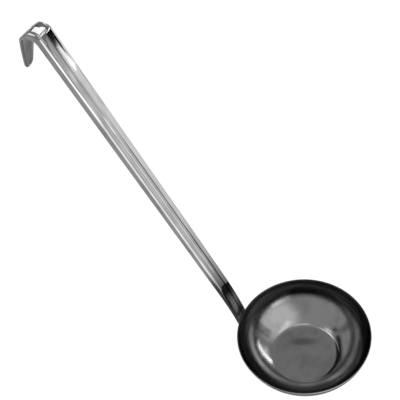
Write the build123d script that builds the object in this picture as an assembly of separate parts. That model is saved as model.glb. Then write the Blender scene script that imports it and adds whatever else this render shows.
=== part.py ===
from build123d import *
import os
from math import acos, cos, degrees, radians, sin, tan

# A soup ladle of pressed stainless steel: a round bowl, and a channel handle
# whose lower tab is spot welded to the outside of the bowl. It stands on the
# flat underside of the bowl: the origin is the centre of that face, +Z is up
# the bowl's axis, and the handle leans towards -X. Lengths are in mm and
# angles in degrees.

# The bowl: outside sizes, and the slope of its wall at the rim
rim_diameter = 100.0
bowl_height = 29.5
bowl_wall = 1.0
base_diameter = 50.0
base_round = 9.0
rim_slope = 78.0
rim_edge_bevel = 0.3

# The handle's strip, from the neck to the shoulder of the hook
sheet = 1.5
strip_width_at_bowl = 12.0
strip_width_at_hook = 13.8
lean = 68.4
straight_length = 222.4
neck_bend_radius = 240.0
flange_depth = 4.4
neck_flange_depth = 3.1
tab_flange_depth = 2.8
edge_round = 1.3
fold_round = 0.3

# The tab that lies on the bowl under its rim
tab_length = 19.0
tab_end_round = 5.0
tab_pad_depth = 0.5
tab_pad_inset = 2.0

# The hook: crest, falling plate and tongue, with their bends
crest_rise = 12.0
crest_length = 6.9
shoulder_radius = 6.0
plate_fall = 30.5
plate_length = 10.1
crest_radius = 3.6
tongue_fall = 71.0
tongue_length = 25.7
heel_radius = 3.8
hook_flange_depth = 5.8
hook_corner_round = 6.0
tongue_tip_width = 6.8
tongue_tip_round = 3.2
plate_joint_share = 0.5

# The raised rib along the middle of the handle
rib_radius = 2.7
rib_height = 0.8
rib_point_length = 14.0
rib_end_gap = 1.0

# The weld nuggets in the tab, on the bowl's wall, and the marks behind them
weld_count = 3
weld_pitch = 5.5
first_weld_drop = 4.5
weld_diameter = 4.0
weld_depth = 0.6
weld_mark_diameter = 4.6
weld_mark_depth = 0.15

# One overrun for every cutting solid, and how near an edge lies to its line
overrun = 12.0
edge_reach = 0.03

# The side view lies in the plane of symmetry: its first axis runs from the
# bowl's axis out towards the handle, and its second is +Z.
side_plane = Plane(origin=(0, 0, 0), x_dir=(-1, 0, 0), z_dir=(0, 1, 0))


def heading(angle, length=1):
    """A step of this length, at this angle above the outward axis."""
    return Vector(length * cos(radians(angle)), length * sin(radians(angle)))


def across(face, width):
    """A side-view face, extruded by half the width to each side."""
    return extrude(side_plane * face, amount=width / 2, both=True)


def side_view_plane(point, angle):
    """The plane through a side-view point whose x axis has this heading
    and whose y axis is the part's Y."""
    return Plane(
        origin=side_plane.from_local_coords(point),
        x_dir=side_plane.from_local_coords(heading(angle)) - side_plane.origin,
        z_dir=side_plane.from_local_coords(heading(angle + 90)) - side_plane.origin,
    )


# The wall of the bowl is one arc, which leaves the rim at the rim's slope and
# reaches the flat base at the base's edge.
rim_radius = rim_diameter / 2
run = rim_radius - base_diameter / 2
wall_radius = (run**2 + bowl_height**2) / (
    2 * (run * sin(radians(rim_slope)) - bowl_height * cos(radians(rim_slope)))
)
rim_point = Vector(rim_radius, bowl_height)
wall_centre = rim_point + heading(rim_slope + 90, wall_radius)


def wall_point(slope, depth):
    """The point this deep outside the wall, where the wall has this slope."""
    return wall_centre + heading(slope - 90, wall_radius + depth)


def wall_slope(height, depth):
    """The slope of the wall, this deep outside it, at this height."""
    return degrees(acos((wall_centre.Y - height) / (wall_radius + depth)))


def half_cup(depth, floor, corner_round):
    """Half the side view of what lies inside a wall this deep outside the bowl's."""
    low = wall_slope(floor, depth)
    high = wall_slope(bowl_height, depth)
    corner = wall_point(low, depth)
    edges = [
        Line(Vector(0, floor), corner),
        CenterArc(wall_centre, wall_radius + depth, low - 90, high - low),
        Line(wall_point(high, depth), Vector(0, bowl_height)),
        Line(Vector(0, bowl_height), Vector(0, floor)),
    ]
    half = Sketch() + make_face(edges)
    return fillet(half.vertices().sort_by_distance(corner)[0], corner_round)


def turned(half):
    """A half side view, turned about the bowl's axis."""
    return revolve(side_plane * half, axis=Axis.Z)


def make_bowl():
    inside = half_cup(-bowl_wall, bowl_wall, base_round - bowl_wall)
    section = half_cup(0, 0, base_round) - inside
    rim_corners = section.vertices().group_by(Axis.Y)[-1]
    return turned(chamfer(rim_corners, rim_edge_bevel))


# The front of the strip, seen from the side: up the bowl's wall, round the
# neck, straight up to the shoulder, over the crest and down the tongue.
tab_end_slope = rim_slope - degrees(tab_length / wall_radius)
neck_centre = rim_point + heading(rim_slope - 90, neck_bend_radius)
neck_top = neck_centre + heading(lean + 90, neck_bend_radius)
shoulder = neck_top + heading(lean, straight_length)
crest = shoulder + heading(crest_rise, crest_length)
plate_joint = crest + heading(-plate_fall, plate_length * plate_joint_share)
heel = crest + heading(-plate_fall, plate_length)
tongue_tip = heel + heading(-tongue_fall, tongue_length)


def behind(point, before, after, depth):
    """A corner of the strip's front line, moved this deep behind it."""
    half_turn = radians(before - after) / 2
    return point + heading((before + after) / 2 - 90, depth / cos(half_turn))


def strip_line(depth):
    """The line this deep behind the front, from the tab's end to the plate."""
    hook = FilletPolyline(
        behind(neck_top, lean, lean, depth),
        behind(shoulder, lean, crest_rise, depth),
        behind(crest, crest_rise, -plate_fall, depth),
        behind(plate_joint, -plate_fall, -plate_fall, depth),
        radius=[shoulder_radius - depth, crest_radius - depth],
    )
    return [
        CenterArc(
            wall_centre, wall_radius + depth, tab_end_slope - 90, rim_slope - tab_end_slope
        ),
        CenterArc(neck_centre, neck_bend_radius - depth, rim_slope + 90, lean - rim_slope),
        *hook.edges(),
    ]


def strip_wedge(inset):
    """The outline of the strip, seen square to its front, as a solid: it
    tapers from the shoulder down to the tab, and is parallel over the hook."""
    plane = side_view_plane(neck_top, lean)
    below = neck_top.Y + overrun
    top = straight_length + crest_length + overrun
    growth = (strip_width_at_hook - strip_width_at_bowl) / straight_length
    low = strip_width_at_bowl / 2 - inset - growth / 2 * below
    high = strip_width_at_hook / 2 - inset
    outline = Polyline(
        (-below, -low), (straight_length, -high), (top, -high),
        (top, high), (straight_length, high), (-below, low), close=True,
    )
    reach = plate_length + tongue_length + overrun
    return extrude(plane * make_face(outline), amount=reach, both=True)


def free_edge():
    """The free edge of the flanges, from the plate down to the tab's end."""
    foot = behind(neck_top, lean, lean, flange_depth)
    at_rim = wall_point(rim_slope, neck_flange_depth)
    rise = (crest.Y - hook_flange_depth - foot.Y) / sin(radians(lean))
    corner = foot + heading(lean, rise)
    top = behind(plate_joint, -plate_fall, -plate_fall, sheet)
    upper = FilletPolyline(top, corner, foot, radius=hook_corner_round)
    neck = TangentArc(foot, at_rim, tangent=heading(lean, -1))
    tab = TangentArc(at_rim, wall_point(tab_end_slope, tab_flange_depth), tangent=neck % 1)
    return [*upper.edges(), neck, tab]


def channel_block():
    """The channel before it is hollowed out, as wide as the hook."""
    top = behind(plate_joint, -plate_fall, -plate_fall, sheet)
    ends = [
        Line(plate_joint, top),
        Line(wall_point(tab_end_slope, 0), wall_point(tab_end_slope, tab_flange_depth)),
    ]
    face = make_face([*strip_line(0), *free_edge(), *ends])
    return across(face, strip_width_at_hook + overrun)


def channel_hollow():
    """The space between the flanges, behind the sheet and past the tab's end."""
    top = behind(plate_joint, -plate_fall, -plate_fall, sheet)
    bottom = wall_point(tab_end_slope, sheet)
    below = bottom + heading(tab_end_slope, -overrun)
    back = below + heading(tab_end_slope - 90, overrun)
    ends = [Line(top, back), Line(back, below), Line(below, bottom)]
    face = make_face([*strip_line(sheet), *ends])
    hollow = across(face, strip_width_at_hook + overrun) & strip_wedge(sheet)
    return fillet(edges_on(hollow, Wire(strip_line(sheet))), fold_round)


def tongue_line(depth):
    """The line this deep behind the front, from the plate to the tongue's tip."""
    return FilletPolyline(
        behind(plate_joint, -plate_fall, -plate_fall, depth),
        behind(heel, -plate_fall, -tongue_fall, depth),
        behind(tongue_tip, -tongue_fall, -tongue_fall, depth),
        radius=heel_radius - depth,
    )


def tongue_block():
    """The rest of the plate, the heel and the tongue, at the strip's width."""
    front = tongue_line(0)
    back = tongue_line(sheet)
    face = make_face(
        [*front.edges(), *back.edges(), Line(front @ 0, back @ 0), Line(front @ 1, back @ 1)]
    )
    return across(face, strip_width_at_hook + overrun)


def tongue_outline():
    """What the tapering, round-ended tongue leaves of the strip."""
    plane = side_view_plane(heel, -tongue_fall)
    root = strip_width_at_hook / 2
    tip = tongue_tip_width / 2
    start = (plate_joint - heel).dot(heading(-tongue_fall)) + sheet
    far_side = TangentArc((start, root), (tongue_length, tip), tangent=(1, 0))
    near_side = TangentArc((start, -root), (tongue_length, -tip), tangent=(1, 0))
    outline = [
        Line((-plate_length, root), (start, root)), far_side,
        Line((tongue_length, tip), (tongue_length, -tip)), near_side,
        Line((start, -root), (-plate_length, -root)),
        Line((-plate_length, -root), (-plate_length, root)),
    ]
    face = Sketch() + make_face(outline)
    face = fillet(face.vertices().group_by(Axis.X)[-1], tongue_tip_round)
    return extrude(plane * face, amount=overrun, both=True)


def tab_outline(inset):
    """What the round lower end of the tab leaves of the strip."""
    plane = side_view_plane(wall_point(tab_end_slope, 0), tab_end_slope)
    reach = straight_length + crest.Y
    half = strip_width_at_bowl / 2 - inset
    outline = Polyline(
        (inset, half), (tab_length, half), (reach, reach),
        (reach, -reach), (tab_length, -half), (inset, -half), close=True,
    )
    face = Sketch() + make_face(outline)
    face = fillet(face.vertices().group_by(Axis.X)[0], tab_end_round - inset)
    return extrude(plane * face, amount=reach, both=True)


def edges_on(solid, line):
    """The edges of a solid that lie beside the middle and on a side-view line."""

    def is_on_line(edge):
        place = side_plane.to_local_coords(edge @ 0.5)
        beside = abs(place.Z) > rib_radius
        return beside and line.distance_to(Vertex(place.X, place.Y)) < edge_reach

    return solid.edges().filter_by(is_on_line)


def rib_bar(depth):
    """The round bar with tapering ends that the rib is pressed over."""
    bend_start = shoulder_radius * tan(radians(lean - crest_rise) / 2)
    low = rib_end_gap
    high = straight_length - bend_start - rib_end_gap
    end_radius = rib_radius - rib_height
    outline = Polyline(
        (low, 0), (low, end_radius), (low + rib_point_length, rib_radius),
        (high - rib_point_length, rib_radius), (high, end_radius), (high, 0), close=True,
    )
    bar = revolve(Plane.XY * make_face(outline), axis=Axis.X)
    plane = side_view_plane(behind(neck_top, lean, lean, depth), lean)
    return plane * Pos(0, 0, -end_radius) * bar


def tab_pad():
    """The middle of the tab, pressed to the round of the bowl's wall."""
    high = rim_slope - degrees(tab_pad_depth / wall_radius)
    low = tab_end_slope
    inner = CenterArc(wall_centre, wall_radius - tab_pad_depth, low - 90, high - low)
    outer = CenterArc(wall_centre, wall_radius + sheet / 2, low - 90, high - low)
    ends = [Line(inner @ 0, outer @ 0), Line(inner @ 1, outer @ 1)]
    face = make_face([inner, outer, *ends])
    return across(face, strip_width_at_bowl) & tab_outline(tab_pad_inset)


def weld_places(depth):
    """A plane for each weld, this deep behind the tab's front."""
    drops = [first_weld_drop + weld_pitch * i for i in range(weld_count)]
    slopes = [rim_slope - degrees(drop / wall_radius) for drop in drops]
    return [side_view_plane(wall_point(slope, depth), slope) for slope in slopes]


def make_spot_welds():
    nugget = Cylinder(weld_diameter / 2, 2 * weld_depth)
    cup = turned(half_cup(0, 0, base_round))
    return Compound([place * nugget - cup for place in weld_places(0)])


def make_handle(welds):
    channel = channel_block() & strip_wedge(0) & tab_outline(0)
    channel = fillet(edges_on(channel, Wire(strip_line(0))), edge_round)
    tongue = tongue_block() & tongue_outline()
    tongue = fillet(edges_on(tongue, tongue_line(0)), edge_round)
    body = channel + tongue + tab_pad() - turned(half_cup(0, 0, base_round)) + rib_bar(0)
    handle = body - channel_hollow() - rib_bar(sheet)
    mark = Cylinder(weld_mark_diameter / 2, 2 * weld_mark_depth)
    marks = [place * mark for place in weld_places(sheet)]
    return handle - marks - welds


def make_parts():
    welds = make_spot_welds()
    return {
        "bowl": make_bowl(),
        "handle": make_handle(welds),
        "spot_welds": welds,
    }


if __name__ == "__main__":
    os.makedirs("parts", exist_ok=True)
    for name, solid in make_parts().items():
        print(name, solid.is_valid, len(solid.solids()), solid.volume, solid.bounding_box())
        export_step(solid, f"parts/{name}.step")
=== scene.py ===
import bmesh
import bpy
import math
from mathutils import Matrix, Quaternion, Vector


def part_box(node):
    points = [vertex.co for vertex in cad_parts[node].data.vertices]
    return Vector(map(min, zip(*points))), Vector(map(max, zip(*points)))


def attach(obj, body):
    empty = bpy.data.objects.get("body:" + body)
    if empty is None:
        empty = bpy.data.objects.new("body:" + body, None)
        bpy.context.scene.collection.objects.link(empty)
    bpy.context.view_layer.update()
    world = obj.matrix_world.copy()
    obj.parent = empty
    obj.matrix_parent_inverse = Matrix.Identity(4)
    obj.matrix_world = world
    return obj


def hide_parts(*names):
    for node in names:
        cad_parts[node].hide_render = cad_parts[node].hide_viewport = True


# A soup ladle of pressed stainless steel. It stands on the flat underside of
# its bowl, +Z is up the bowl's axis, and the handle leans towards -X. All
# lengths are in metres, and angles in degrees.
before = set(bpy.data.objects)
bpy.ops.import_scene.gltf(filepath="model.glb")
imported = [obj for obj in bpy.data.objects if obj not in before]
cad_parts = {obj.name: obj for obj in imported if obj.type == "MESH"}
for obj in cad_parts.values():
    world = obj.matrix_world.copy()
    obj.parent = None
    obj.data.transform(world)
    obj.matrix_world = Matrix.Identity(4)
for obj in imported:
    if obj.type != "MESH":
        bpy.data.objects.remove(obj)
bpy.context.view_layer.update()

# The bowl
# One disc of thin stainless sheet, pressed to a round cup with a flat floor
# and polished on a lathe, which leaves fine rings about its axis. Its upper
# wall is painted dark: a painted reflection of the dark surroundings that
# the steep wall mirrors.
rim_radius = 0.050
base_radius = 0.025
bowl_sheet = 0.001
base_round = 0.009
rim_edge_round = 0.0004
rim_slope = 78
bowl_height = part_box("bowl")[1].z
wall_steps = 28
foot_steps = 10
round_steps = 256
merge_reach = 1e-6


def heading(angle, length=1.0):
    """A step of this length in the side view, at this angle above the level."""
    angle = math.radians(angle)
    return Vector((length * math.cos(angle), length * math.sin(angle)))


run = rim_radius - base_radius
slope_across = heading(rim_slope, run).y - heading(rim_slope, bowl_height).x
wall_radius = (run**2 + bowl_height**2) / (2 * slope_across)
wall_centre = Vector((rim_radius, bowl_height)) + heading(rim_slope + 90, wall_radius)


def lay_arc(form, start, centre, sweep, steps):
    """Turn a vertex about a centre in the XZ plane and return where it ends."""
    centre = Vector((centre[0], 0, centre[1]))
    path = bmesh.ops.spin(
        form, geom=[start], cent=centre, axis=(0, 1, 0), angle=sweep, steps=steps
    )
    return next(end for end in path["geom_last"] if isinstance(end, bmesh.types.BMVert))


def lay_cup_side(form, inset):
    """Half the side view of one face of the wall, from the rim to the axis:
    the wall's arc, the round at its foot and the flat floor."""
    top_slope = math.acos((wall_centre.y - bowl_height) / (wall_radius - inset))
    foot_slope = math.acos((wall_centre.y - base_round) / (wall_radius - base_round))
    foot_x = wall_centre.x + (wall_radius - base_round) * math.sin(foot_slope)
    rim_x = wall_centre.x + (wall_radius - inset) * math.sin(top_slope)
    rim = form.verts.new((rim_x, 0, bowl_height))
    foot = lay_arc(form, rim, wall_centre, top_slope - foot_slope, wall_steps)
    floor_edge = lay_arc(form, foot, (foot_x, base_round), foot_slope, foot_steps)
    pole = bmesh.ops.extrude_vert_indiv(form, verts=[floor_edge])["verts"][0]
    pole.co = (0, 0, inset)
    return rim


def new_piece(name, form, node):
    """Make a finished shape an object that stands for a CAD node."""
    mesh = bpy.data.meshes.new(name)
    form.to_mesh(mesh)
    form.free()
    piece = bpy.data.objects.new(name, mesh)
    bpy.context.scene.collection.objects.link(piece)
    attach(piece, "root")
    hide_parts(node)
    return piece


form = bmesh.new()
rims = [lay_cup_side(form, 0), lay_cup_side(form, bowl_sheet)]
form.edges.new(rims)
bmesh.ops.bevel(
    form,
    geom=rims,
    offset=rim_edge_round,
    segments=4,
    profile=0.5,
    material=-1,
    affect="VERTICES",
)
bmesh.ops.spin(
    form,
    geom=form.verts[:] + form.edges[:],
    cent=(0, 0, 0),
    axis=(0, 0, 1),
    angle=2 * math.pi,
    steps=round_steps,
    use_merge=True,
)
bmesh.ops.remove_doubles(form, verts=form.verts, dist=merge_reach)
bmesh.ops.recalc_face_normals(form, faces=form.faces)
for face in form.faces:
    face.smooth = True
bowl = new_piece("bowl_cup", form, "bowl")


class Wire:
    """A socket of a shader. Python's operators on wires add Math nodes."""

    def __init__(self, tree, socket=None):
        self.tree = tree
        self.socket = socket

    def node(self, kind, settings, links, output=0):
        """Add a node, set it up, link or set its sockets and return an output."""
        made = self.tree.nodes.new(kind)
        for name, value in settings.items():
            setattr(made, name, value)
        for name, value in links.items():
            if isinstance(value, Wire):
                self.tree.links.new(value.socket, made.inputs[name])
            else:
                made.inputs[name].default_value = value
        return Wire(self.tree, made.outputs[output] if made.outputs else None)

    def math(self, operation, first, second=0.0):
        return self.node("ShaderNodeMath", {"operation": operation}, {0: first, 1: second})

    def __add__(self, other):
        return self.math("ADD", self, other)

    def __radd__(self, other):
        return self.math("ADD", other, self)

    def __sub__(self, other):
        return self.math("SUBTRACT", self, other)

    def __rsub__(self, other):
        return self.math("SUBTRACT", other, self)

    def __mul__(self, other):
        return self.math("MULTIPLY", self, other)

    def __rmul__(self, other):
        return self.math("MULTIPLY", other, self)

    def __pow__(self, other):
        return self.math("POWER", self, other)

    def __abs__(self):
        return self.math("ABSOLUTE", self)

    def between(self, low, high):
        """0 where the wire is below low, 1 above high, and a soft step between."""
        settings = {"interpolation_type": "SMOOTHSTEP"}
        links = {"Value": self, "From Min": low, "From Max": high}
        return self.node("ShaderNodeMapRange", settings, links)

    def below(self, low, high):
        """1 where the wire is below low, 0 above high, and a soft step between."""
        return 1.0 - self.between(low, high)

    def noise(self, cell, detail=4.0, roughness=0.55):
        """Noise at the place that the wire holds, with cells of one size."""
        links = {"Vector": self, "Scale": 1.0 / cell, "Detail": detail, "Roughness": roughness}
        return self.node("ShaderNodeTexNoise", {}, links)

    def parts(self):
        """The X, Y and Z of the vector that the wire holds."""
        split = self.node("ShaderNodeSeparateXYZ", {}, {"Vector": self})
        return [Wire(self.tree, end) for end in split.socket.node.outputs]

    def grey(self):
        """The wire's value as a grey."""
        black = (0.0, 0.0, 0.0, 1.0)
        white = (1.0, 1.0, 1.0, 1.0)
        links = {"Factor": self, 6: black, 7: white}
        return self.node("ShaderNodeMix", {"data_type": "RGBA"}, links, 2)


def new_material(name):
    """An empty material, its shader and the place on the piece as a wire."""
    material = bpy.data.materials.new(name)
    material.use_nodes = True
    material.node_tree.nodes.clear()
    shader = Wire(material.node_tree)
    return material, shader, shader.node("ShaderNodeTexCoord", {}, {}, "Object")


def put_on(piece, material):
    piece.data.materials.append(material)


def finish_steel(shader, height, depth, tint, roughness, edge_tint=(1.0, 1.0, 1.0, 1.0)):
    """Bare steel with a fine grain this deep, as the material's surface."""
    bump = shader.node("ShaderNodeBump", {}, {"Height": height, "Distance": depth})
    links = {
        "Base Color": tint,
        "Metallic": 1.0,
        "Roughness": roughness,
        "Specular Tint": edge_tint,
        "Normal": bump,
    }
    surface = shader.node("ShaderNodeBsdfPrincipled", {}, links)
    shader.node("ShaderNodeOutputMaterial", {}, {"Surface": surface})


polished_grey = 0.66
smear_loss = 0.11
painted_ring_grey = 0.22
heat_loss = 0.42
stain_loss = 0.45
rings_to_metre = 3000.0
bands_to_metre = 500.0
ring_depth = 0.00002
smear_cell = 0.014
heat_cell = 0.003
heat_mark_y = 0.0045
dark_ring_drop = 0.0075
dark_ring_rise = 0.0085
stain_centre = Vector((-0.0044, 0.009))
stain_way = heading(20)
stain_length_share = 0.42
bowl_steel, shader, place = new_material("bowl_steel")
x, y, z = place.parts()
radius = (x * x + y * y) ** 0.5
turn = x.math("ARCTAN2", y, x)


def turned_rings(to_metre, detail, roughness):
    """Noise drawn out round the axis, with this many cells to a metre across."""
    links = {0: radius * to_metre, 1: turn, 2: z * to_metre}
    return x.node("ShaderNodeCombineXYZ", {}, links).noise(1.0, detail, roughness)


rings = turned_rings(rings_to_metre, 5.0, 0.7)
bands = turned_rings(bands_to_metre, 3.0, 0.55)
smears = place.noise(smear_cell).between(0.4, 0.7)
from_centre = ((radius - wall_centre.x) ** 2.0 + (z - wall_centre.y) ** 2.0) ** 0.5
inside = from_centre.below(wall_radius - 0.7 * bowl_sheet, wall_radius - 0.3 * bowl_sheet)

# The painted dark ring, a painted reflection, reaches further down the wall on the near side,
# at -Y.
ring_shift = y.between(-0.034, 0.0) * dark_ring_rise - dark_ring_drop
painted_dark_ring = (z - ring_shift).between(0.0125, 0.0180) * inside

# A stain lies on the floor, and the welder's heat shows opposite the tab.
stain_x = x - stain_centre.x
stain_y = y - stain_centre.y
along_stain = stain_x * stain_way.x + stain_y * stain_way.y
across_stain = stain_y * stain_way.x - stain_x * stain_way.y
stain_reach = ((along_stain * stain_length_share) ** 2.0 + across_stain**2.0) ** 0.5
stain = stain_reach.below(0.001, 0.0055) * z.below(0.0015, 0.003) * inside
heat = abs(y - heat_mark_y).below(0.002, 0.0052) * x.below(-0.032, -0.029) * inside
heat = heat * (0.6 + place.noise(heat_cell) * 0.8)
clean = polished_grey - smears * smear_loss
clean = clean * (1.0 - heat * heat_loss) * (1.0 - stain * stain_loss)
tint = (clean * (1.0 - painted_dark_ring) + bands * painted_ring_grey * painted_dark_ring).grey()
dull_edge = (0.5, 0.5, 0.5, 1.0)
finish_steel(shader, rings, ring_depth, tint, 0.13 + smears * 0.08, dull_edge)
put_on(bowl, bowl_steel)

# The handle
# One strip of the same steel, pressed to a channel with a rib along it and
# bent over at the top to a flat hook. Its lower end is a tab, pressed to the
# round of the bowl's wall and spot welded there.
strip_sheet = 0.0015
half_width_at_bowl = 0.0060
half_width_at_hook = 0.0069
tab_length = 0.019
tab_end_round = 0.005
tab_press_fade = 0.014
neck_radius = 0.240
lean = 68.4
straight_length = 0.2224
shoulder_radius = 0.006
crest_rise = 12.0
crest_length = 0.0069
crest_radius = 0.0036
plate_fall = 30.5
plate_length = 0.0101
heel_radius = 0.0038
tongue_fall = 71.0
tongue_length = 0.0257
tip_half_width = 0.0034
tip_round = 0.0032
tip_edge_round = 0.0012
tab_flange = 0.0028
neck_flange = 0.0031
flange = 0.0044
hook_flange = 0.0058
hook_corner_round = 0.006
far_edge_share = 0.55
least_fold_round = 0.0003
most_edge_share = 0.9
sharp_from = 30
rib_height = 0.0008
rib_half_width = 0.0019
rib_foot_round = 0.00008
rib_end_gap = 0.001
rib_end_length = 0.014
rib_fade_at_hook = 0.060
weld_drops = (0.0045, 0.0100, 0.0155)
weld_mark_radius = 0.0023
weld_mark_depth = 0.00015
weld_mark_slope = 0.0004
tab_steps = 38
neck_steps = 10
rib_end_steps = 15
long_steps = 24
shoulder_steps = 12
crest_steps = 8
flat_steps = 4
tip_steps = 12
web_steps = 12
edge_steps = 8
side_steps = 4


def bend_cut(radius, turn):
    """How much a bend of this radius takes off the straight on each side."""
    return radius * math.tan(math.radians(turn) / 2)


def bend_length(radius, turn):
    return radius * math.radians(turn)


def walk(point, angle, moves):
    """Places along a line of straights and bends, each given by its length, the
    angle that it turns and its steps: point, angle and distance walked."""
    distance = 0.0
    places = [(point, angle, distance)]
    for length, turned, steps in moves:
        half_turn = math.radians(turned / steps) / 2
        chord = length / steps
        if turned:
            chord = chord * math.sin(half_turn) / half_turn
        for step in range(steps):
            point = point + heading(angle + turned / steps / 2, chord)
            angle = angle + turned / steps
            distance = distance + length / steps
            places.append((point, angle, distance))
    return places


# The front of the strip, from the tab's end to the tongue's tip.
tab_turn = math.degrees(tab_length / wall_radius)
shoulder_turn = lean - crest_rise
crest_turn = crest_rise + plate_fall
heel_turn = tongue_fall - plate_fall
shoulder_cut = bend_cut(shoulder_radius, shoulder_turn)
crest_cut = bend_cut(crest_radius, crest_turn)
heel_cut = bend_cut(heel_radius, heel_turn)
rib_end_run = rib_end_gap + rib_end_length
long_run = straight_length - shoulder_cut - 2 * rib_end_run
tab_end = wall_centre + heading(rim_slope - tab_turn - 90, wall_radius)
front = walk(
    tab_end,
    rim_slope - tab_turn,
    [
        (tab_length, tab_turn, tab_steps),
        (bend_length(neck_radius, rim_slope - lean), lean - rim_slope, neck_steps),
        (rib_end_run, 0, rib_end_steps),
        (long_run, 0, long_steps),
        (rib_end_run, 0, rib_end_steps),
        (bend_length(shoulder_radius, shoulder_turn), -shoulder_turn, shoulder_steps),
        (crest_length - shoulder_cut - crest_cut, 0, flat_steps),
        (bend_length(crest_radius, crest_turn), -crest_turn, crest_steps),
        (plate_length / 2 - crest_cut, 0, flat_steps),
        (plate_length / 2 - heel_cut, 0, flat_steps - 1),
        (bend_length(heel_radius, heel_turn), -heel_turn, crest_steps),
        (tongue_length - heel_cut - tip_round, 0, tip_steps),
        (tip_round, 0, tip_steps),
    ],
)
neck_top_step = tab_steps + neck_steps
shoulder_step = neck_top_step + 2 * rib_end_steps + long_steps
crest_step = shoulder_step + shoulder_steps + flat_steps
plate_joint_step = crest_step + crest_steps + flat_steps
neck_top, _, neck_end = front[neck_top_step]
shoulder_start = front[shoulder_step][2]
crest_start = front[crest_step][2]
plate_joint = front[plate_joint_step][2]
tongue_end = front[-1][2]

# The flanges' free edge runs along the strip, round a wide corner under the
# hook and up to the middle of the falling plate.
edge_foot = neck_top + heading(lean - 90, flange)
crest_corner = neck_top + heading(lean, straight_length) + heading(crest_rise, crest_length)
edge_rise = (crest_corner.y - hook_flange - edge_foot.y) / heading(lean).y
edge_corner = edge_foot + heading(lean, edge_rise)
edge_top = front[plate_joint_step][0] + heading(-plate_fall - 90, strip_sheet)
to_top = edge_top - edge_corner
edge_turn = lean - math.degrees(math.atan2(to_top.y, to_top.x))
edge_cut = bend_cut(hook_corner_round, edge_turn)
edge_share = (edge_rise - edge_cut) / (straight_length - shoulder_cut)
free_edge = walk(
    edge_foot,
    lean,
    [
        (rib_end_run * edge_share, 0, rib_end_steps),
        (long_run * edge_share, 0, long_steps),
        (rib_end_run * edge_share, 0, rib_end_steps),
        (bend_length(hook_corner_round, edge_turn), -edge_turn, shoulder_steps),
        (to_top.length - edge_cut, 0, plate_joint_step - shoulder_step - shoulder_steps),
    ],
)

# How far the web's edges are rounded, how much it is crowned, how deep the
# tab's flanges are and how closely the strip follows the round of the bowl:
# each is marked at distances along the strip and eases from mark to mark.
edge_rounds = [
    (0.0, 0.0006),
    (tab_length, 0.0016),
    (neck_end, 0.0026),
    (shoulder_start, 0.0028),
    (crest_start, 0.0030),
    (plate_joint, 0.0013),
]
crowns = [
    (0.0, 0.00005),
    (neck_end, 0.0001),
    (shoulder_start - rib_fade_at_hook, 0.0001),
    (shoulder_start, 0.0004),
    (crest_start, 0.0007),
    (plate_joint, 0.0003),
    (tongue_end, 0.0001),
]
tab_flanges = [
    (0.002, strip_sheet),
    (0.006, tab_flange),
    (tab_length, neck_flange),
    (neck_end, flange),
]
pressed = [(0.0, 1.0), (tab_length, 1.0), (tab_length + tab_press_fade, 0.0)]


def value_at(marks, distance):
    """A value that eases from one marked distance along the strip to the next."""
    for (start, low), (end, high) in zip(marks, marks[1:]):
        if distance < end:
            share = max(0.0, (distance - start) / (end - start))
            return low + (high - low) * share * share * (3 - 2 * share)
    return marks[-1][1]


def round_off(radius, distance):
    """What a round corner takes off the half width, this far from the end."""
    short = max(0.0, radius - distance)
    return radius - math.sqrt(radius * radius - short * short)


def half_width(distance):
    """Half the strip's width: it grows up to the hook and tapers to the tip."""
    growth = (half_width_at_hook - half_width_at_bowl) / straight_length
    half = half_width_at_bowl + growth * min(distance - neck_end, straight_length)
    down = max(0.0, distance - plate_joint) / (tongue_end - plate_joint)
    half = half - (half_width_at_hook - tip_half_width) * down * down
    half = half - round_off(tab_end_round, distance)
    return half - round_off(tip_round, tongue_end - distance)


def rib_rise(y, distance):
    """How far the strip stands out of its flat here: up by the rib, which runs
    out at both ends, and down towards the edges by the crown."""
    start = neck_end + rib_end_gap
    end = shoulder_start - rib_end_gap
    ends = (distance - start) / rib_end_length, (end - distance) / rib_fade_at_hook
    height = rib_height * min(1.0, *ends) - rib_height * (y / rib_half_width) ** 2
    rise = (height + math.hypot(height, 2 * rib_foot_round)) / 2
    crown = value_at(crowns, distance) * (y / half_width_at_bowl) ** 2
    return max(0.0, rise - rib_foot_round / 4) - crown


def weld_mark(y, distance):
    """How deep the welding tips have pressed the tab's back here."""
    nearest = min(math.hypot(y, distance - tab_length + drop) for drop in weld_drops)
    share = (weld_mark_radius - nearest) / weld_mark_slope
    return weld_mark_depth * min(1.0, max(0.0, share))


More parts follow.
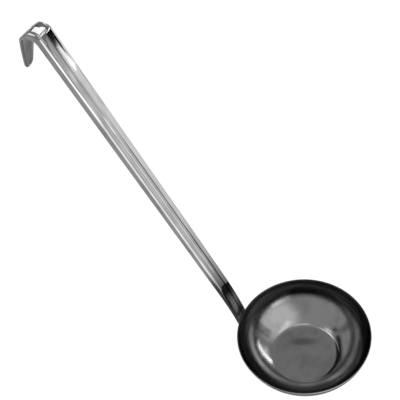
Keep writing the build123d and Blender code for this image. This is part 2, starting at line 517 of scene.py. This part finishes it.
def half_section(step, side):
    """Half a section of the strip: over its front from the middle, round the
    edge, down the flange, and back inside. The side is -1 or 1 along Y, and
    the press has rounded the edge on the first more than on the other."""
    point, angle, distance = front[step]
    back = heading(angle - 90)
    behind = point + back * strip_sheet
    point = point + back * round_off(tip_edge_round, tongue_end - distance)
    if step < neck_top_step:
        free = point + back * value_at(tab_flanges, distance)
    elif step > plate_joint_step:
        free = behind
    else:
        free = free_edge[step - neck_top_step][0]
    depth = (free - point).length
    half = half_width(distance)
    edge = min(value_at(edge_rounds, distance), most_edge_share * min(depth, half))
    if side > 0:
        edge = edge * far_edge_share
    flat = half - edge
    places = []
    for k in range(web_steps + 1):
        y = flat * k / web_steps
        places.append((y, point - back * rib_rise(y, distance)))
    for k in range(1, edge_steps + 1):
        over = heading(90 - 90 * k / edge_steps, edge)
        places.append((flat + over.x, point + back * (edge - over.y)))
    for k in range(1, side_steps + 1):
        places.append((half, (point + back * edge).lerp(free, k / side_steps)))
    inner_half = max(0.0, half - strip_sheet)
    fold = max(least_fold_round, edge - strip_sheet)
    fold = max(0.0, min(fold, depth - strip_sheet, inner_half))
    flat = inner_half - fold
    for k in range(side_steps + 1):
        fold_foot = point + back * (strip_sheet + fold)
        places.append((inner_half, free.lerp(fold_foot, k / side_steps)))
    for k in range(1, side_steps + 1):
        over = heading(90 * k / side_steps, fold)
        places.append((flat + over.x, point + back * (strip_sheet + fold - over.y)))
    for k in range(1, web_steps + 1):
        y = flat * (web_steps - k) / web_steps
        sunk = strip_sheet - rib_rise(y, distance) - weld_mark(y, distance)
        places.append((y, point + back * sunk))
    press = value_at(pressed, distance)
    return [
        Vector((press * (at.x - math.sqrt(at.x**2 - y * y)) - at.x, side * y, at.y))
        for y, at in places
    ]


form = bmesh.new()
for side in (-1, 1):
    sections = [half_section(step, side) for step in range(len(front))]
    rows = len(sections) - 1
    columns = len(sections[0]) - 1
    blank = bmesh.ops.create_grid(form, x_segments=rows, y_segments=columns, size=0.5)
    for vertex in blank["verts"]:
        row = round((vertex.co.x + 0.5) * rows)
        column = round((vertex.co.y + 0.5) * columns)
        vertex.co = sections[row][column]
bmesh.ops.remove_doubles(form, verts=form.verts, dist=merge_reach)
open_edges = [edge for edge in form.edges if edge.is_boundary]
bmesh.ops.holes_fill(form, edges=open_edges, sides=0)
bmesh.ops.recalc_face_normals(form, faces=form.faces)
for face in form.faces:
    face.smooth = True
handle = new_piece("handle_channel", form, "handle")
handle.data.set_sharp_from_angle(angle=math.radians(sharp_from))

handle_grey = 0.68
handle_smear_loss = 0.2
near_flange_shade = 0.84
web_shade = 0.60
grain_along, grain_across = 40.0, 2500.0
smear_along, smear_across = 45.0, 180.0
grain_depth = 0.0000002
handle_steel, shader, place = new_material("handle_steel")
x, y, z = place.parts()
up_strip = heading(lean)
along = z * up_strip.y - x * up_strip.x
beside = x * up_strip.y + z * up_strip.x


def streaks(to_metre_along, to_metre_across, detail):
    """Noise drawn out along the strip, by its cells to a metre each way."""
    links = {0: along * to_metre_along, 1: y * to_metre_across, 2: beside * to_metre_across}
    return x.node("ShaderNodeCombineXYZ", {}, links).noise(1.0, detail)


# The neck is painted darker, highest up and most on the near flange:
# painted shade for the dark surroundings that it mirrors. A painted dark
# line, also painted shade, runs along the far foot of the rib.
grain = streaks(grain_along, grain_across, 2.0)
smears = streaks(smear_along, smear_across, 3.0).between(0.42, 0.75)
flange_more = y.between(-0.0058, -0.0050) * (near_flange_shade - web_shade)
painted_neck_shade = (z + y * 1.8).below(0.054, 0.074) * (near_flange_shade - flange_more)
# A painted dark line, painted shade, along the far foot of the rib, broken up by the grain.
painted_rib_line = y.between(0.0001, 0.0006) * y.below(0.0013, 0.0018)
painted_rib_line = painted_rib_line * z.below(0.180, 0.225) * (0.55 + grain * 0.8)
clean = handle_grey - smears * handle_smear_loss
tint = (clean * (1.0 - painted_neck_shade) * (1.0 - painted_rib_line)).grey()
finish_steel(shader, grain, grain_depth, tint, 0.04 + smears * 0.03)
put_on(handle, handle_steel)

# The spot welds
# Three nuggets of fused steel that join the tab to the bowl's wall. They lie
# between the sheets, so only their marks in tab and bowl are seen.
weld_grey = (0.6, 0.6, 0.59, 1.0)
weld_grain_cell = 0.0006
weld_grain_depth = 0.00001
weld_roughness = 0.35
weld_merge_reach = 1e-7


def merged_copy(node):
    """A CAD node's triangles, joined, with every face shaded smooth."""
    form = bmesh.new()
    form.from_mesh(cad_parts[node].data)
    bmesh.ops.remove_doubles(form, verts=form.verts, dist=weld_merge_reach)
    for face in form.faces:
        face.smooth = True
    return form


welds = new_piece("weld_nuggets", merged_copy("spot_welds"), "spot_welds")
weld_steel, shader, place = new_material("weld_steel")
grain = place.noise(weld_grain_cell)
finish_steel(shader, grain, weld_grain_depth, weld_grey, weld_roughness)
put_on(welds, weld_steel)

# The floor and the room
# A wide pale sheet under the ladle, in a plain pale room. The camera sees both
# as white, and the floor keeps the ladle's shadow; the steel mirrors them by
# direction, brighter on one side than on the other.
floor_half_width = 6.0
floor_centre_x = -0.1
floor_white_level = 0.94
near_dark_share = 0.75
low_level = 0.38
form = bmesh.new()
bmesh.ops.create_grid(form, size=floor_half_width)
floor_mesh = bpy.data.meshes.new("floor")
form.to_mesh(floor_mesh)
form.free()
floor = bpy.data.objects.new("floor", floor_mesh)
bpy.context.scene.collection.objects.link(floor)


def level_at(turn, pool=1.0):
    """How bright the steel sees the low part of the room at this azimuth: the
    level steps up or down over each of these spans."""
    level = low_level
    for low, high, change in (
        (-65, -48, pool * 0.85),
        (-24, -8, pool * -0.65),
        (24, 42, 0.30),
        (62, 90, -0.24),
        (120, 150, -0.26),
    ):
        level = turn.between(low, high) * change + level
    return level


def seen_apart(shader, mirrored, seen):
    """Show one surface to the camera and another to all other rays."""
    rays = shader.node("ShaderNodeLightPath", {}, {}, "Is Camera Ray")
    return shader.node("ShaderNodeMixShader", {}, {0: rays, 1: mirrored, 2: seen})


floor_white, shader, place = new_material("floor_white")
x, y, z = place.parts()
from_middle = x - floor_centre_x
turn = x.math("ARCTAN2", y, from_middle) * math.degrees(1)
reach = (from_middle**2.0 + y * y) ** 0.5
# Near the ladle, over azimuths from about 0 to 100 degrees, the floor's mirrored glow is
# dimmer: painted shade.
ahead = turn.between(-12, 0) * turn.below(95, 115)
near = reach.below(0.12, 0.42) * ahead
pool = level_at(turn, reach.between(0.13, 0.18)) * (1.0 - near * near_dark_share)
shadowed = shader.node("ShaderNodeBsdfDiffuse", {}, {"Color": (0.3, 0.3, 0.3, 1.0)})
glow = shader.node("ShaderNodeEmission", {}, {"Strength": floor_white_level})
seen = shader.node("ShaderNodeAddShader", {}, {0: shadowed, 1: glow})
shiny = shader.node("ShaderNodeEmission", {}, {"Strength": pool})
plain = shader.node("ShaderNodeBsdfDiffuse", {}, {"Color": (0.8, 0.8, 0.8, 1.0)})
glossy = shader.node("ShaderNodeLightPath", {}, {}, "Is Glossy Ray")
mirrored = shader.node("ShaderNodeMixShader", {}, {0: glossy, 1: plain, 2: shiny})
surface = seen_apart(shader, mirrored, seen)
shader.node("ShaderNodeOutputMaterial", {}, {"Surface": surface})
put_on(floor, floor_white)

room_level = 0.28
far_room_loss = 0.08
key_level = 0.33
key_way = Vector((0.735, -0.103, 0.669))
world = bpy.data.worlds.new("studio")
world.use_nodes = True
world.node_tree.nodes.clear()
bpy.context.scene.world = world
shader = Wire(world.node_tree)
direction = shader.node("ShaderNodeTexCoord", {}, {}, "Generated")
east, north, height = direction.parts()
turn = east.math("ARCTAN2", north, east) * math.degrees(1)
key = (east * key_way.x + north * key_way.y + height * key_way.z).between(0.74, 0.93)
horizon = height.below(0.03, 0.06)
above = key * key_level + room_level - north.between(0.0, 0.6) * far_room_loss
room = level_at(turn) * horizon + above * (1.0 - horizon)
white = (1.0, 1.0, 1.0, 1.0)
mirrored = shader.node("ShaderNodeBackground", {}, {"Color": white, "Strength": room})
backdrop = shader.node("ShaderNodeBackground", {}, {"Color": white, "Strength": 1.0})
surface = seen_apart(shader, mirrored, backdrop)
shader.node("ShaderNodeOutputWorld", {}, {"Surface": surface})

# The lights
# Softboxes, and black cards that keep light off the steel. Most stand far off
# in the room; four small ones stand close to the hook, so that only its own
# faces mirror them. Each is placed by the direction in which it stands.
stand_off = 5.0
hook_place = (-0.146, 0, 0.272)
hook_stand_off = 0.08
web_stand_off = 0.5


def stand(name, thing, azimuth, elevation, roll, off=stand_off, around=(0, 0, 0)):
    """Put a lamp or card in this direction from a place, and let it face it."""
    azimuth = math.radians(azimuth)
    elevation = math.radians(elevation)
    level = math.cos(elevation)
    direction = Vector(
        (level * math.cos(azimuth), level * math.sin(azimuth), math.sin(elevation))
    )
    piece = bpy.data.objects.new(name, thing)
    piece.location = Vector(around) + direction * off
    turn = (-direction).to_track_quat("-Z", "Y")
    piece.rotation_euler = (turn @ Quaternion((0.0, 0.0, 1.0), math.radians(roll))).to_euler()
    bpy.context.scene.collection.objects.link(piece)
    piece.visible_camera = False
    return piece


def span(angle, off):
    """How wide a thing is that covers this angle from so far off."""
    return 2 * off * math.tan(math.radians(angle / 2))


def softbox(
    name, azimuth, elevation, width, height, brightness, roll=0, off=stand_off, around=(0, 0, 0)
):
    """A softbox with this brightness wherever the steel mirrors it; its width
    and height are angles too, as seen from the place that it stands around."""
    lamp = bpy.data.lights.new(name, "AREA")
    lamp.shape = "RECTANGLE"
    lamp.size = span(width, off)
    lamp.size_y = span(height, off)
    lamp.energy = brightness * math.pi * lamp.size * lamp.size_y
    stand(name, lamp, azimuth, elevation, roll, off, around)


def black_card(name, azimuth, elevation, width, height, roll=0):
    """A card of black felt, sized by angles as a softbox is."""
    form = bmesh.new()
    bmesh.ops.create_grid(form, size=0.5)
    size = (span(width, stand_off), span(height, stand_off), 1.0)
    bmesh.ops.scale(form, vec=size, verts=form.verts)
    mesh = bpy.data.meshes.new(name)
    form.to_mesh(mesh)
    form.free()
    card = stand(name, mesh, azimuth, elevation, roll)
    card.visible_shadow = False
    put_on(card, black_felt)


black_felt, shader, place = new_material("black_felt")
felt = shader.node("ShaderNodeBsdfDiffuse", {}, {"Color": (0.01, 0.01, 0.01, 1.0)})
shader.node("ShaderNodeOutputMaterial", {}, {"Surface": felt})

# In the bowl and along the strip.
softbox("edge_softbox", -34, 8, 32, 14, 0.9)
softbox("low_softbox", 8, 6, 44, 8, 0.25)
softbox("high_softbox", 2, 64, 26, 8, 0.35)
softbox("strip_softbox", 56, 22, 5, 38, 2.4, -62)
softbox("top_softbox", -66, 86, 16, 16, 0.3)
softbox("near_web_softbox", 32.5, 6.5, 10, 5, 0.3)

# On the strip just below the hook, and on the hook.
softbox("web_softbox", 42.6, -0.7, 6.5, 4, 1.3, 0, web_stand_off, hook_place)
softbox("crest_softbox", 98, 60, 58, 34, 1.4, 0, hook_stand_off, hook_place)
softbox("crest_edge_softbox", -124, 43, 40, 24, 1.0, 0, hook_stand_off, hook_place)
softbox("shoulder_softbox", 42, 34, 20, 16, 0.9, 0, hook_stand_off, hook_place)

# Dark parts of the strip and of the wall.
black_card("low_card", 49.8, 10, 22.6, 12.8)
black_card("back_card", 141, 42, 26, 34)
black_card("back_strip", 177, 41, 44, 10, 20)

# The camera
# It looks down on the ladle from its near side, past the bowl's end. Its
# place, heading and roll were fitted to the outline in the photo.
camera_data = bpy.data.cameras.new("camera")
camera_data.lens = 60.0
camera_data.sensor_width = 36.0
camera = bpy.data.objects.new("camera", camera_data)
camera_place = Vector((0.11328, -0.25351, 0.46485))
camera_heading = Vector((-0.40473, 0.57950, -0.70737))
camera_roll = math.radians(-13.36)
look = camera_heading.to_track_quat("-Z", "Y") @ Quaternion((0.0, 0.0, 1.0), camera_roll)
camera.matrix_world = Matrix.Translation(camera_place) @ look.to_matrix().to_4x4()
bpy.context.scene.collection.objects.link(camera)
bpy.context.scene.camera = camera
bpy.context.scene.view_settings.view_transform = "Standard"
